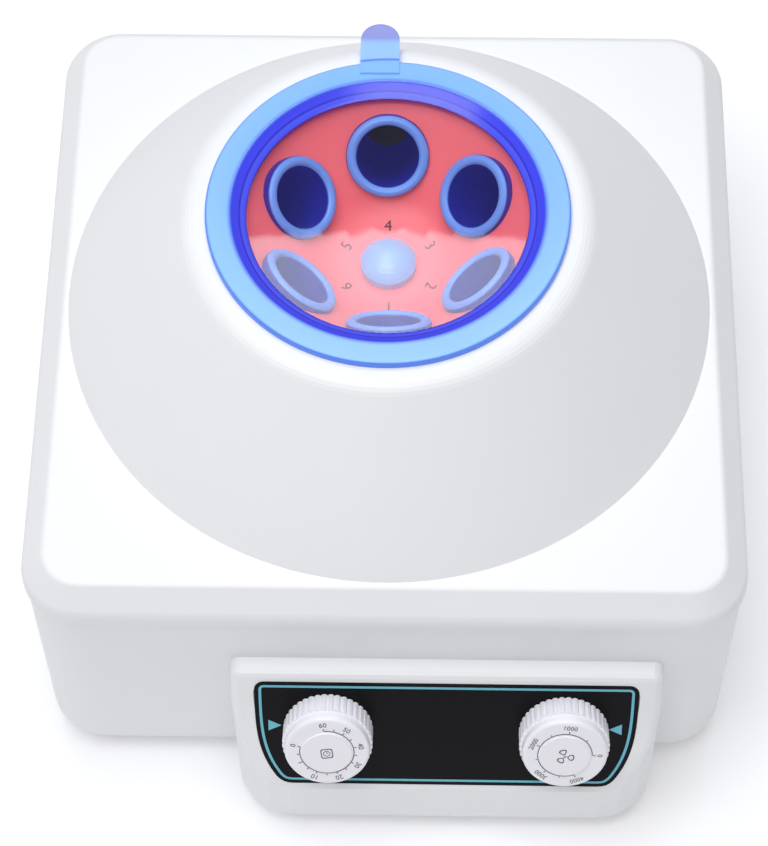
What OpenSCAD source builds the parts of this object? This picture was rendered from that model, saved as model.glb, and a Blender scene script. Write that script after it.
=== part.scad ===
// Small bench centrifuge: six slanted tube sleeves under a hinged see-through lid.
// Millimetres. The origin lies on the bench under the rotor's axis, +Z up.
// +Y points to the back, where the lid hinge and the power inlet are.

/* [Housing] */
// Width and depth of the square base tub
body_w = 258; // [254:1:320]
// Height of the cover's collar above the bench
body_h = 185; // [182:1:225]
// Height of the cover's flat deck above the bench
deck_h = 129.2; // [126:0.1:136]
// Height of the seam between base tub and top cover
seam_h = 114; // [110:1:117]
// Plan radius of the base tub's upright corners
corner_r = 21; // [16:1:26]
// Wall of the mouldings
wall = 3; // [2.4:0.2:3.4]
// Height of the rubber feet
foot_h = 8; // [6:0.5:12]
// Radius of the soft edge round the base tub's floor
floor_edge_r = 9; // [4:1:12]
// How far the cover's lip stands out past the base tub
lip_step = 1; // [0.5:0.1:2]
// How far the rim band above the lip leans in
rim_run = 9.8; // [6:0.1:12]

/* [Cover cone] */
// Radius at which the cone's slope would meet the collar's level
cone_top_r = 72.2; // [70:0.1:78]
// Radius of the soft shoulder between slope and collar
shoulder_r = 9; // [6:0.5:10]
// Radius of the opening in the collar
mouth_r = 57.6; // [56:0.1:59]

/* [Lid] */
// Outer radius of the lid's flange
flange_r = 65.2; // [63:0.1:67]
// Thickness of the flange
flange_t = 2.7; // [2:0.1:3.5]
// Radius of the clear part of the window
window_r = 50.5; // [46:0.5:51]
// Width of the hinge arm
arm_w = 14.3; // [13:0.1:20]
// Sideways place of the hinge arm
arm_x = -4; // [-10:0.5:10]
// Distance of the hinge pin behind the rotor's axis
pin_y = 76.5; // [76:0.1:78]
// Radius of the hinge pin
pin_r = 1.2; // [1:0.1:1.4]

/* [Rotor] */
// Number of tube sleeves
tube_count = 6; // [4:2:6]
// Radius of a sleeve's bore
tube_bore_r = 11.4; // [9:0.1:14]
// Wall of a sleeve
sleeve_wall = 1.45; // [1:0.05:2]
// Width of a sleeve's rolled mouth
rim_w = 3.9; // [3:0.1:4.5]
// Length of a sleeve along its axis
sleeve_len = 85; // [80:1:88]
// Angle between a tube and the rotor's axis
tube_tilt = 45; // [40:1:48]
// Gap between the mouths of two neighbouring sleeves
rim_gap = 4.4; // [3:0.1:8]
// Turn of the sleeves from the rear, as they stand at rest
rest_turn = 1.25; // [-30:0.25:30]

/* [Control pod] */
// Width of the control pod
pod_w = 158; // [131:1:190]
// Sideways place of the pod's middle
pod_x = 23; // [0:1:23]
// How far the pod stands out from the base tub
pod_reach = 30; // [30:1:34]
// Height of the crest between the pod's skirt and its panel
crest_h = 36.5; // [34:0.5:38]
// Length of the sloping panel
panel_len = 54.4; // [53:0.1:56]
// Lean of the panel from the upright
panel_lean = 25.7; // [22:0.1:26]
// Plan radius of the pod's front corners
pod_corner_r = 21; // [16:1:24]
// Radius of the pod's soft edges
pod_edge_r = 4; // [3.8:0.1:5]

/* [Knobs] */
// Radius of a knob
knob_r = 16.5; // [13.5:0.1:20]
// Height of a knob
knob_h = 13.5; // [12:0.5:16]
// Number of ribs round a knob
knob_ribs = 40; // [24:1:48]
// Radius of a knob's shaft
knob_shaft_r = 3; // [2.5:0.1:3.5]
// Share of the panel's width between the two knobs' axes
knob_spread = 86.5; // [80:0.5:100]
// Place of the knobs' axes up the panel's slope from the crest
knob_v = 29.6; // [28:0.2:31]

/* [Motor] */
// Outer radius of the motor's can
can_r = 41; // [38:1:44]
// Length of the can between its end caps
can_len = 56; // [56:1:60]
// Radius of the motor's shaft
shaft_r = 5; // [4:0.5:6]
// Distance of the damper posts from the middle, in X and in Y
post_c = 65; // [60:1:68]

/* [Hidden] */

$fn = 96;

// Small overlap that lets a cut run past the face it opens
cut = 1;

// Clearances
seat_gap = 0.1;   // between a part and the hole it is pressed or screwed in
pin_gap = 0.05;   // round a pin or a shaft that turns in a bore
run_gap = 0.4;    // between moving faces that must not touch
spigot_gap = 0.6; // round the lid's spigot

// Housing
floor_z = foot_h + wall + 0.5;
half_w = body_w / 2;
corner_c = half_w - corner_r;
lip_r = corner_r + lip_step;
deck_r = lip_r - rim_run;
cone_base_r = corner_c + deck_r - 0.6;
cone_a = atan2(body_h - deck_h, cone_base_r - cone_top_r);
shoulder_run = shoulder_r * tan(cone_a / 2);
shoulder_c = [cone_top_r - shoulder_run, body_h - shoulder_r];
case_screw_c = half_w - 25;
foot_c = half_w - 41;
case_post_top = seam_h - 6;
case_well_r = 4.6;

// Lid
window_drop = 2.8;
window_t = 1.6;
window_rise = 1.4;
spigot_r = mouth_r - spigot_gap;
spigot_h = 4;
arm_z = body_h + 2;
arm_t = 1.7;
arm_end_y = pin_y - 2.25;
pin_z = body_h - 0.5;
lug_r = pin_r + 1;
cheek_r = pin_r + 1.2;
lug_half = 3.6;
cheek_in = lug_half + 0.3;
cheek_out = arm_w / 2 - 1;

// Rotor: a point is given by s along a tube from its mouth and t across it
sleeve_r = tube_bore_r + sleeve_wall;
rim_r = tube_bore_r + rim_w;
mouth_circle_r = (2 * rim_r + rim_gap) / (2 * sin(180 / tube_count));
mouth_z = body_h - window_drop - 1.9 - rim_r * sin(tube_tilt);
rim_h = 5;
dish_t = 3.5;
dish_low_t = -23 - (mouth_circle_r - 35);
skirt_in_t = sleeve_r + 0.55;
skirt_t = skirt_in_t + 3;
band_s = sleeve_len - 25;
band_end_s = band_s + 10;
band_t = sleeve_r + 3;
sleeve_ball_s = sleeve_len - sleeve_r;
dish_z = along(rim_h, dish_low_t).y;
hub_r = 14;
hub_z = dish_z - 27;
rotor_r = max(along(sleeve_ball_s, 0).x + sleeve_r, along(band_end_s, skirt_t).x);
rotor_low_z = along(sleeve_ball_s, 0).y - sleeve_r;

// Chamber and motor, stacked down from the rotor
bowl_t = 1.5;
bowl_in_r = rotor_r + 8;
bowl_r = bowl_in_r + bowl_t;
bowl_floor_z = rotor_low_z - 14;
ring_in_r = bowl_r + 1.2;
ring_r = ring_in_r + 2.5;
bowl_top_z = cone_under(ring_in_r) - 4;
ring_low_z = bowl_top_z - 9;
plate_t = 4;
plate_z = bowl_floor_z - bowl_t - plate_t;
plate_r = norm([post_c, post_c]) + 10;
damper_h = 6;
post_r = 9;
cap_t = 6;
boss_h = 6;
can_z = plate_z - cap_t - can_len;
can_in_r = can_r - 2;
bearing_r = shaft_r + 8;
bearing_h = 8;
armature_r = 27;
commutator_r = 12;
brush_z = can_z + 13;
bolt_circle_r = 30;
bowl_bolt_r = 60;

// Pod and panel
pod_front_y = half_w + pod_reach;
pod_floor_z = foot_h;
knob_x = [pod_x - knob_spread / 2, pod_x + knob_spread / 2];
fascia_edge = 8.5;
fascia_low = 3.5;
fascia_high = 50;
fascia_t = 1;
fascia_corner = 4;
top_slope = 13;
pod_bolt_x = pod_w / 2 - 6;
pod_bolt_z = [24, 68];
pod_boss_h = 9;
bush_r = 4.5;
nut_r = 7;
nut_h = 2.2;
timer_side = 34;
timer_depth = 26;
regulator_r = 15;
regulator_depth = 20;

// Back wall fittings
fitting_z = 42;
inlet_x = 74;
fuse_x = 46;
switch_x = 22;
inlet_w = 27.5;
inlet_h = 20;
rocker_half = 8;
rocker_pivot_y = half_w - 1;

// A point of the rotor's outline, s down a tube's axis and t across it
function along(s, t) = [
    mouth_circle_r + s * sin(tube_tilt) + t * cos(tube_tilt),
    mouth_z - s * cos(tube_tilt) + t * sin(tube_tilt)
];

// Points of an arc about c from angle a to angle b
function arc(c, r, a, b, n = 5) = [
    for (i = [0:n]) c + r * [cos(a + (b - a) * i / n), sin(a + (b - a) * i / n)]
];

// Height of the cone's underside at radius r
function cone_under(r) =
    deck_h + (cone_base_r - wall / sin(cone_a) - r) * tan(cone_a);

// Half the panel's width at v up its slope, where the round corners cut it
function panel_half(v) =
    let (back = min(pod_corner_r, v * sin(panel_lean)))
    pod_w / 2 - pod_corner_r
        + sqrt(pow(pod_corner_r, 2) - pow(pod_corner_r - back, 2));

module at_corners(c) {
    for (sx = [-1, 1], sy = [-1, 1]) translate([sx * c, sy * c, 0]) children();
}

// A rounded square block: one outline of [distance from the corner's centre, height],
// turned round each corner and drawn along each side
module swept_block(c, outline) {
    section = concat(
        [for (p = outline) [c + p.x, p.y]],
        [for (i = [len(outline) - 1:-1:0]) [-c - outline[i].x, outline[i].y]]
    );
    translate([-c, 0, 0]) rotate([90, 0, 90]) linear_extrude(2 * c) polygon(section);
    for (side = [0, 180]) rotate([0, 0, side]) {
        translate([c, c, 0]) rotate([90, 0, 0]) linear_extrude(2 * c) polygon(outline);
        translate([c, c, 0]) rotate_extrude(angle = 90) polygon(outline);
        translate([c, -c, 0]) rotate([0, 0, -90]) rotate_extrude(angle = 90) polygon(outline);
    }
}

module ring(r_out, r_in, h) {
    difference() {
        cylinder(r = r_out, h = h);
        translate([0, 0, -cut]) cylinder(r = r_in, h = h + 2 * cut);
    }
}

// A round-headed screw, its head above z = 0 and its shank below
module screw(head_r, head_h, shank_r, shank_len) {
    cylinder(r = head_r, h = head_h);
    translate([0, 0, -shank_len]) cylinder(r = shank_r, h = shank_len + head_h / 2);
}

// Puts a child on the sloping panel: x sideways, y up the slope, z out of the panel
module on_panel(x, v) {
    translate([x, -pod_front_y + v * sin(panel_lean), crest_h + v * cos(panel_lean)])
        rotate([90 - panel_lean, 0, 0]) children();
}

// Puts a child on tube number k, its mouth at z = 0 and its axis up out of the mouth
module on_tube(k) {
    rotate([0, 0, 360 / tube_count * k + rest_turn])
        translate([0, mouth_circle_r, mouth_z]) rotate([tube_tilt, 0, 0]) children();
}

module at_tubes() {
    for (k = [0:tube_count - 1]) on_tube(k) children();
}

// Puts a child on the outside of the back wall: x sideways, y up, z out to the back
module on_back(x) {
    translate([x, half_w, fitting_z]) rotate([-90, 0, 0]) mirror([0, 1, 0]) children();
}

// Housing

module base_tub() {
    outside = concat(
        [[0, foot_h]],
        arc([corner_r - floor_edge_r, foot_h + floor_edge_r], floor_edge_r, -90, 0),
        [
            [corner_r, seam_h],
            [corner_r - 2.4, seam_h],
            [corner_r - 2.4, seam_h + wall],
            [0, seam_h + wall]
        ]
    );
    inner_edge_r = floor_edge_r - wall;
    inside_r = corner_r - wall;
    tongue_r = inside_r - 1.6;
    inside = concat(
        [[0, floor_z]],
        arc([inside_r - inner_edge_r, floor_z + inner_edge_r], inner_edge_r, -90, 0),
        [
            [inside_r, seam_h - 6],
            [tongue_r, seam_h - 4],
            [tongue_r, seam_h + wall + cut],
            [0, seam_h + wall + cut]
        ]
    );
    color("gainsboro") difference() {
        swept_block(corner_c, outside);
        swept_block(corner_c, inside);
        at_corners(case_screw_c) translate([0, 0, foot_h - cut])
            cylinder(r = case_well_r, h = floor_z);
        at_corners(foot_c) translate([0, 0, foot_h - cut]) cylinder(r = 2, h = floor_z);
        floor_vents();
        pod_window();
        pod_bolts_along() cylinder(r = 2.2, h = 40, center = true);
        back_cutouts();
    }
}

// The posts that stand on the tub's floor, for the motor, the cover, the feet and the board
module tub_posts() {
    color("gainsboro") difference() {
        translate([0, 0, floor_z]) {
            at_corners(post_c) cylinder(r = post_r, h = plate_z - damper_h - floor_z);
            at_corners(case_screw_c) cylinder(r = 6.5, h = case_post_top - floor_z);
            at_corners(foot_c) cylinder(r = 5, h = 11);
            board_posts();
        }
        at_corners(post_c) translate([0, 0, plate_z - damper_h - 16])
            cylinder(r = 2, h = 16 + cut);
        at_corners(case_screw_c) {
            translate([0, 0, foot_h - cut]) cylinder(r = 2.2, h = case_post_top);
            translate([0, 0, foot_h - cut])
                cylinder(r = case_well_r, h = case_post_top - foot_h - 10 + cut);
        }
        at_corners(foot_c) translate([0, 0, foot_h - cut]) cylinder(r = 2, h = 13);
    }
}

module floor_vents() {
    for (i = [-5:5], row = [-1, 1])
        translate([i * 7 - 1.3, row * 26 - 14, foot_h - cut]) cube([2.6, 28, wall + 0.5 + 2 * cut]);
}

// The opening through which the timer and the speed regulator reach into the tub
module pod_window() {
    translate([pod_x - pod_w / 2 + 15, -half_w - cut, 30])
        cube([pod_w - 30, wall + 2 * cut, 50]);
}

// Axes of the four screws that hold the pod, pointing to the front
module pod_bolts_along() {
    for (sx = [-1, 1], z = pod_bolt_z)
        translate([pod_x + sx * pod_bolt_x, -half_w, z]) rotate([90, 0, 0]) children();
}

module board_posts() {
    for (y = [-34, 34], x = [-12, 12])
        translate([-half_w + 32 + x, y, 0]) cylinder(r = 3, h = 5);
}

module back_cutouts() {
    on_back(inlet_x) translate([-inlet_w / 2, -inlet_h / 2, -wall - cut])
        cube([inlet_w, inlet_h, wall + 2 * cut]);
    on_back(fuse_x) translate([0, 0, -wall - cut]) cylinder(r = 6.2, h = wall + 2 * cut);
    on_back(switch_x) translate([-6.7, -9.7, -wall - cut]) cube([13.4, 19.4, wall + 2 * cut]);
}

module top_cover() {
    crest_r = 3;
    outside = concat(
        [[0, seam_h], [lip_r, seam_h], [lip_r, seam_h + 3]],
        arc([lip_r - 7, seam_h + 3], 7, 12, 36, 3),
        arc([deck_r, deck_h - crest_r], crest_r, 50, 90, 3),
        [[0, deck_h]]
    );
    inside = [
        [0, seam_h - cut],
        [lip_r - wall, seam_h - cut],
        [lip_r - wall, seam_h + 3.5],
        [deck_r - 0.8, deck_h - wall],
        [0, deck_h - wall]
    ];
    cone = concat(
        [[0, deck_h - 2], [cone_base_r, deck_h - 2], [cone_base_r, deck_h]],
        arc(shoulder_c, shoulder_r, 90 - cone_a, 90),
        [[0, body_h]]
    );
    hollow = concat(
        [[0, deck_h - wall - cut], [cone_under_r(deck_h - wall - cut), deck_h - wall - cut]],
        arc(shoulder_c, shoulder_r - wall, 90 - cone_a, 90),
        [[0, body_h - wall]]
    );
    color("white") difference() {
        union() {
            difference() {
                union() {
                    swept_block(corner_c, outside);
                    rotate_extrude() polygon(cone);
                }
                swept_block(corner_c, inside);
                rotate_extrude() polygon(hollow);
            }
            rotate_extrude() polygon([
                [ring_in_r, ring_low_z],
                [ring_r, ring_low_z],
                [ring_r, cone_under(ring_r) + 1],
                [ring_in_r, cone_under(ring_in_r) + 1]
            ]);
            translate([0, 0, body_h - 8]) ring(mouth_r + 2.5, mouth_r, 7);
            at_corners(case_screw_c) translate([0, 0, case_post_top])
                cylinder(r = 6, h = deck_h - wall + 1 - case_post_top);
            hinge_lug();
        }
        translate([0, 0, body_h - 12]) cylinder(r = mouth_r, h = 12 + cut);
        at_corners(case_screw_c) translate([0, 0, case_post_top - cut]) cylinder(r = 2, h = 13);
        translate([arm_x - 20, pin_y, pin_z]) rotate([0, 90, 0]) cylinder(r = pin_r, h = 40);
    }
}

// Radius of the cone's underside at height z
function cone_under_r(z) =
    cone_base_r - wall / sin(cone_a) - (z - deck_h) / tan(cone_a) - 0.6;

module hinge_lug() {
    lug_low_z = deck_h + (cone_base_r - pin_y - lug_r) * tan(cone_a) - 2;
    translate([arm_x - lug_half, 0, 0]) rotate([90, 0, 90]) linear_extrude(2 * lug_half) {
        translate([pin_y, pin_z]) circle(r = lug_r);
        polygon([
            [pin_y - lug_r, lug_low_z],
            [pin_y - lug_r, pin_z],
            [pin_y + lug_r, pin_z],
            [pin_y + lug_r - 1.4, pin_z - 6],
            [pin_y + lug_r - 1.4, lug_low_z]
        ]);
    }
}

// The pod's outside as a hull of balls, which gives it soft edges all round
module pod_form() {
    crease_v = panel_len - pod_edge_r * tan((90 - panel_lean - top_slope) / 2);
    crease = [
        -pod_front_y + crease_v * sin(panel_lean) + pod_edge_r * cos(panel_lean),
        crest_h + crease_v * cos(panel_lean) - pod_edge_r * sin(panel_lean)
    ];
    path_r = pod_corner_r - pod_edge_r;
    side_x = pod_w / 2 - pod_edge_r;
    rear = half_w - 8;
    rear_z = crease.y + (-rear - crease.x) * tan(top_slope);
    low = pod_floor_z + pod_edge_r;
    round_spots = [for (a = [0:22.5:90]) [
        pod_w / 2 - pod_corner_r + path_r * cos(a),
        -pod_front_y + pod_corner_r - path_r * sin(a)
    ]];
    balls = concat(
        [for (p = round_spots) [p.x, p.y, panel_z(p.y)]],
        [for (p = round_spots) [p.x, p.y, low]],
        [[side_x, crease.x, crease.y], [side_x, -rear, rear_z], [side_x, -rear, low]]
    );
    translate([pod_x, 0, 0]) hull() for (sx = [-1, 1], p = balls)
        translate([sx * p.x, p.y, p.z]) sphere(r = pod_edge_r, $fn = 16);
}

// Height at which a ball of the pod's edge touches the panel's plane from inside
function panel_z(y) =
    crest_h + ((y + pod_front_y) * cos(panel_lean) - pod_edge_r) / sin(panel_lean);

// The pod's hollow: its plan outline, cut to its side outline, a wall inside both
module pod_hollow() {
    inner_r = pod_corner_r - wall;
    corner = [pod_w / 2 - pod_corner_r, -pod_front_y + pod_corner_r];
    right = concat([[pod_w / 2 - wall, -half_w + cut]], arc(corner, inner_r, 0, -90));
    low = pod_floor_z + wall;
    lift = wall / sin(panel_lean) - wall / tan(panel_lean);
    crest_in = [-pod_front_y + wall, crest_h - lift * tan(panel_lean)];
    rise = panel_len * cos(panel_lean) - wall;
    crease_in = [crest_in.x + rise * tan(panel_lean), crest_in.y + rise];
    rear_in = [-half_w + cut, crease_in.y + (-half_w + cut - crease_in.x) * tan(top_slope)];
    intersection() {
        translate([pod_x, 0, low]) linear_extrude(body_h)
            polygon(concat(right, [for (i = [len(right) - 1:-1:0]) [-right[i].x, right[i].y]]));
        translate([pod_x - pod_w, 0, 0]) rotate([90, 0, 90]) linear_extrude(2 * pod_w)
            polygon([[-half_w + cut, low], [crest_in.x, low], crest_in, crease_in, rear_in]);
    }
}

module control_pod() {
    color("white") difference() {
        union() {
            difference() {
                pod_form();
                pod_hollow();
            }
            pod_bolts_along() cylinder(r = 4.5, h = pod_boss_h);
        }
        translate([pod_x - pod_w, -half_w, 0]) cube([2 * pod_w, 60, body_h]);
        on_panel(pod_x, 0) translate([0, 0, -fascia_t]) linear_extrude(fascia_t + cut)
            fascia_outline(0);
        pod_bolts_along() translate([0, 0, -cut]) cylinder(r = 1.8, h = 8 + cut);
        for (x = knob_x) on_panel(x, knob_v) translate([0, 0, -wall - cut])
            cylinder(r = bush_r + seat_gap, h = wall + 2 * cut);
    }
}

// The dark plate's outline follows the panel: its sides bend in with the pod's corners
module fascia_outline(gap) {
    low = fascia_low + gap;
    high = fascia_high - gap;
    c = fascia_corner - gap;
    right = concat(
        arc([panel_half(low + 6) - fascia_edge - gap - 8, low + 6], 6, -90, -40, 4),
        [for (i = [0:8]) let (v = low + 6 + (high - c - low - 6) * i / 8)
            [panel_half(v) - fascia_edge - gap, v]],
        arc([panel_half(high) - fascia_edge - gap - c, high - c], c, 15, 90, 4)
    );
    polygon(concat(right, [for (i = [len(right) - 1:-1:0]) [-right[i].x, right[i].y]]));
}

module fascia() {
    color("black") difference() {
        on_panel(pod_x, 0) translate([0, 0, -fascia_t]) linear_extrude(fascia_t)
            fascia_outline(seat_gap);
        for (x = knob_x) on_panel(x, knob_v) translate([0, 0, -fascia_t - cut])
            cylinder(r = bush_r + seat_gap, h = fascia_t + 2 * cut);
    }
}

// Chamber and motor

module chamber_bowl() {
    bend = 10;
    color("silver") difference() {
        rotate_extrude() polygon(concat(
            [[shaft_r + 9, bowl_floor_z - bowl_t]],
            arc([bowl_r - bend, bowl_floor_z - bowl_t + bend], bend, -90, 0),
            [[bowl_r, bowl_top_z], [bowl_in_r, bowl_top_z]],
            arc([bowl_r - bend, bowl_floor_z - bowl_t + bend], bend - bowl_t, 0, -90),
            [[shaft_r + 9, bowl_floor_z]]
        ));
        for (a = [0:90:270]) rotate([0, 0, a]) translate([bowl_bolt_r, 0, bowl_floor_z - 5])
            cylinder(r = 2.2, h = 10);
    }
}

module bowl_gasket() {
    color("dimgray") rotate_extrude() polygon([
        [ring_in_r - seat_gap, bowl_top_z - 6],
        [ring_in_r - seat_gap, bowl_top_z + 1.5],
        [bowl_in_r - 1.2, bowl_top_z + 1.5],
        [bowl_in_r - 1.2, bowl_top_z - 5],
        [bowl_in_r, bowl_top_z - 5],
        [bowl_in_r, bowl_top_z],
        [bowl_r, bowl_top_z],
        [bowl_r, bowl_top_z - 6]
    ]);
}

module bowl_screws() {
    color("silver") for (a = [0:90:270]) rotate([0, 0, a])
        translate([bowl_bolt_r, 0, bowl_floor_z]) screw(4, 2, 2, bowl_t + plate_t);
}

module shaft_seal() {
    color("dimgray") translate([0, 0, bowl_floor_z]) rotate_extrude() polygon([
        [shaft_r + run_gap, -bowl_t],
        [shaft_r + 9, -bowl_t],
        [shaft_r + 9, 0],
        [shaft_r + 12, 0],
        [shaft_r + 12, 1.5],
        [shaft_r + 4, 3],
        [shaft_r + run_gap, 6]
    ]);
}

module motor_plate() {
    color("darkgray") difference() {
        translate([0, 0, plate_z]) cylinder(r = plate_r, h = plate_t);
        translate([0, 0, plate_z - cut]) cylinder(r = shaft_r + 9, h = plate_t + 2 * cut);
        at_corners(post_c) translate([0, 0, plate_z]) {
            translate([0, 0, -cut]) cylinder(r = 2.2, h = plate_t + 2 * cut);
            translate([0, 0, plate_t - 2.5]) cylinder(r = 4.3, h = 2.5 + cut);
        }
        for (a = [0:90:270]) rotate([0, 0, a]) translate([bowl_bolt_r, 0, plate_z - cut])
            cylinder(r = 2, h = plate_t + 2 * cut);
        for (a = [45:90:315]) rotate([0, 0, a]) translate([bolt_circle_r, 0, plate_z]) {
            translate([0, 0, -cut]) cylinder(r = 2, h = plate_t + 2 * cut);
            translate([0, 0, plate_t - 2.5]) cylinder(r = 4.3, h = 2.5 + cut);
        }
    }
}

module plate_dampers() {
    color("dimgray") at_corners(post_c) translate([0, 0, plate_z - damper_h]) difference() {
        cylinder(r = post_r, h = damper_h);
        translate([0, 0, -cut]) cylinder(r = 2, h = damper_h + 2 * cut);
        translate([0, 0, damper_h / 2]) rotate_extrude() translate([post_r, 0]) circle(r = 1.2);
    }
}

module plate_screws() {
    color("silver") at_corners(post_c) translate([0, 0, plate_z + plate_t - 2.5])
        screw(4, 2.3, 2, damper_h + 16);
}

module motor_can() {
    color("lightgray") difference() {
        translate([0, 0, can_z]) ring(can_r, can_in_r, can_len);
        for (sx = [-1, 1]) translate([sx * can_r, 0, brush_z]) cube([12, 10.2, 10.2], center = true);
    }
}

module field_stator() {
    color("dimgray") translate([0, 0, can_z + 20]) difference() {
        ring(can_in_r, armature_r + 1, 22);
        for (sy = [0, 180]) rotate([0, 0, sy]) translate([armature_r - 4, -5, -cut])
            cube([can_in_r - armature_r, 10, 22 + 2 * cut]);
    }
}

// An end cap with a boss that holds its bearing, drawn for the top of the motor
module end_cap() {
    difference() {
        union() {
            cylinder(r = can_r, h = cap_t);
            translate([0, 0, -boss_h]) cylinder(r = bearing_r + 2.5, h = boss_h + 1);
        }
        translate([0, 0, -boss_h - cut]) cylinder(r = bearing_r, h = bearing_h + cut);
        translate([0, 0, -cut]) cylinder(r = shaft_r + 1, h = cap_t + 2 * cut);
        for (a = [0:60:300]) rotate([0, 0, a]) translate([can_r - 8, 0, -cut])
            cylinder(r = 3, h = cap_t + 2 * cut);
    }
}

module motor_top_cap() {
    color("silver") difference() {
        translate([0, 0, can_z + can_len]) end_cap();
        for (a = [45:90:315]) rotate([0, 0, a])
            translate([bolt_circle_r, 0, can_z + can_len - cut]) cylinder(r = 2, h = cap_t + 2 * cut);
    }
}

module motor_bottom_cap() {
    color("silver") translate([0, 0, can_z]) mirror([0, 0, 1]) end_cap();
}

module motor_screws() {
    color("silver") for (a = [45:90:315]) rotate([0, 0, a])
        translate([bolt_circle_r, 0, plate_z + plate_t - 2.5]) screw(4, 2.3, 2, cap_t + 1);
}

module top_bearing() {
    color("lightsteelblue") translate([0, 0, can_z + can_len - boss_h]) ring(bearing_r, shaft_r, bearing_h);
}

module bottom_bearing() {
    color("lightsteelblue") translate([0, 0, can_z + boss_h - bearing_h]) ring(bearing_r, shaft_r, bearing_h);
}

module brush_holders() {
    color("saddlebrown") for (a = [0, 180]) rotate([0, 0, a]) difference() {
        translate([commutator_r + 3, -5, brush_z - 5]) cube([can_r + 3 - commutator_r - 3, 10, 10]);
        translate([commutator_r, -3, brush_z - 3]) cube([20, 6, 6]);
    }
}

module brushes() {
    color("black") for (a = [0, 180]) rotate([0, 0, a])
        translate([commutator_r + run_gap, -2.9, brush_z - 2.9]) cube([19, 5.8, 5.8]);
}

module motor_shaft() {
    color("silver") {
        translate([0, 0, can_z - 4]) cylinder(r = shaft_r, h = dish_z + 4 - can_z + 4);
        translate([0, 0, hub_z - 4]) cylinder(r = shaft_r + 3, h = 4);
    }
}

module armature_core() {
    color("slategray") translate([0, 0, can_z + 22]) difference() {
        cylinder(r = armature_r, h = 18);
        translate([0, 0, -cut]) cylinder(r = shaft_r, h = 18 + 2 * cut);
        for (a = [0:30:330]) rotate([0, 0, a]) translate([armature_r - 6, -1.5, -cut])
            cube([8, 3, 18 + 2 * cut]);
    }
}

module armature_winding() {
    color("chocolate") for (z = [can_z + 19, can_z + 40]) translate([0, 0, z])
        ring(armature_r - 4, shaft_r + 2, 3);
}

module commutator() {
    color("peru") translate([0, 0, can_z + 8]) ring(commutator_r, shaft_r, 11);
}

module cooling_fan() {
    color("ivory") translate([0, 0, can_z + 44]) {
        ring(shaft_r + 3, shaft_r, 4.5);
        for (a = [0:45:315]) rotate([0, 0, a]) translate([shaft_r + 2, -0.8, 0]) cube([20, 1.6, 4.5]);
    }
}

// Rotor

module rotor_body() {
    rim_round = 3;
    rim_c = along(rim_h + rim_round, skirt_t - rim_round);
    outline = concat(
        [[0, dish_z], along(rim_h, dish_low_t)],
        arc(rim_c, rim_round, 90 + tube_tilt, tube_tilt, 4),
        [
            along(band_end_s, skirt_t),
            along(band_end_s, -band_t),
            along(band_s, -band_t),
            along(band_s, skirt_in_t),
            along(rim_h + dish_t, skirt_in_t),
            along(rim_h + dish_t, dish_low_t - 1.5),
            [hub_r, dish_z - dish_t],
            [hub_r, hub_z],
            [0, hub_z]
        ]
    );
    rib = [
        [hub_r - 1, hub_z + 2],
        [hub_r - 1, dish_z - 1],
        along(rim_h + 1, dish_low_t + 1),
        along(rim_h + 1, skirt_in_t + 1),
        along(band_s + 1, skirt_in_t + 1),
        along(band_s + 1, -band_t + 1)
    ];
    color("salmon") difference() {
        union() {
            rotate_extrude() polygon(outline);
            for (k = [0:tube_count - 1])
                rotate([0, 0, 360 / tube_count * (k + 0.5) + rest_turn])
                    translate([-1.5, 0, 0]) rotate([90, 0, 90]) linear_extrude(3) polygon(rib);
        }
        at_tubes() {
            translate([0, 0, -sleeve_len - 5]) cylinder(r = sleeve_r + pin_gap, h = sleeve_len + 20);
            translate([0, 0, -rim_h]) cylinder(r = rim_r + seat_gap, h = rim_h + 20);
        }
        translate([0, 0, hub_z - cut]) cylinder(r = shaft_r, h = dish_z - hub_z + 2 * cut);
    }
}

module rotor_cap() {
    cap_r = 10.2;
    color("lightblue") difference() {
        translate([0, 0, dish_z]) rotate_extrude() polygon(concat(
            [[0, 0], [cap_r, 0], [cap_r, 3.5]],
            arc([0, -4.6], 13, 38.5, 90, 6)
        ));
        translate([0, 0, dish_z - cut]) cylinder(r = shaft_r, h = 4 + cut);
    }
}

module tube_sleeve(k) {
    lip = rim_w / 2;
    color("cornflowerblue") on_tube(k - 1) rotate_extrude() polygon(concat(
        arc([tube_bore_r + lip, -lip], lip, 180, 0, 6),
        [[rim_r, -rim_h], [sleeve_r, -rim_h]],
        arc([0, -sleeve_ball_s], sleeve_r, 0, -90, 7),
        arc([0, -sleeve_ball_s], tube_bore_r, -90, 0, 7)
    ));
}

module sleeve_pads() {
    pad_r = tube_bore_r - seat_gap;
    color("dimgray") at_tubes() translate([0, 0, -sleeve_ball_s]) rotate_extrude()
        polygon(concat([[0, -pad_r * sin(40)]], arc([0, 0], pad_r, -40, -90, 5)));
}

// Lid

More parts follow.
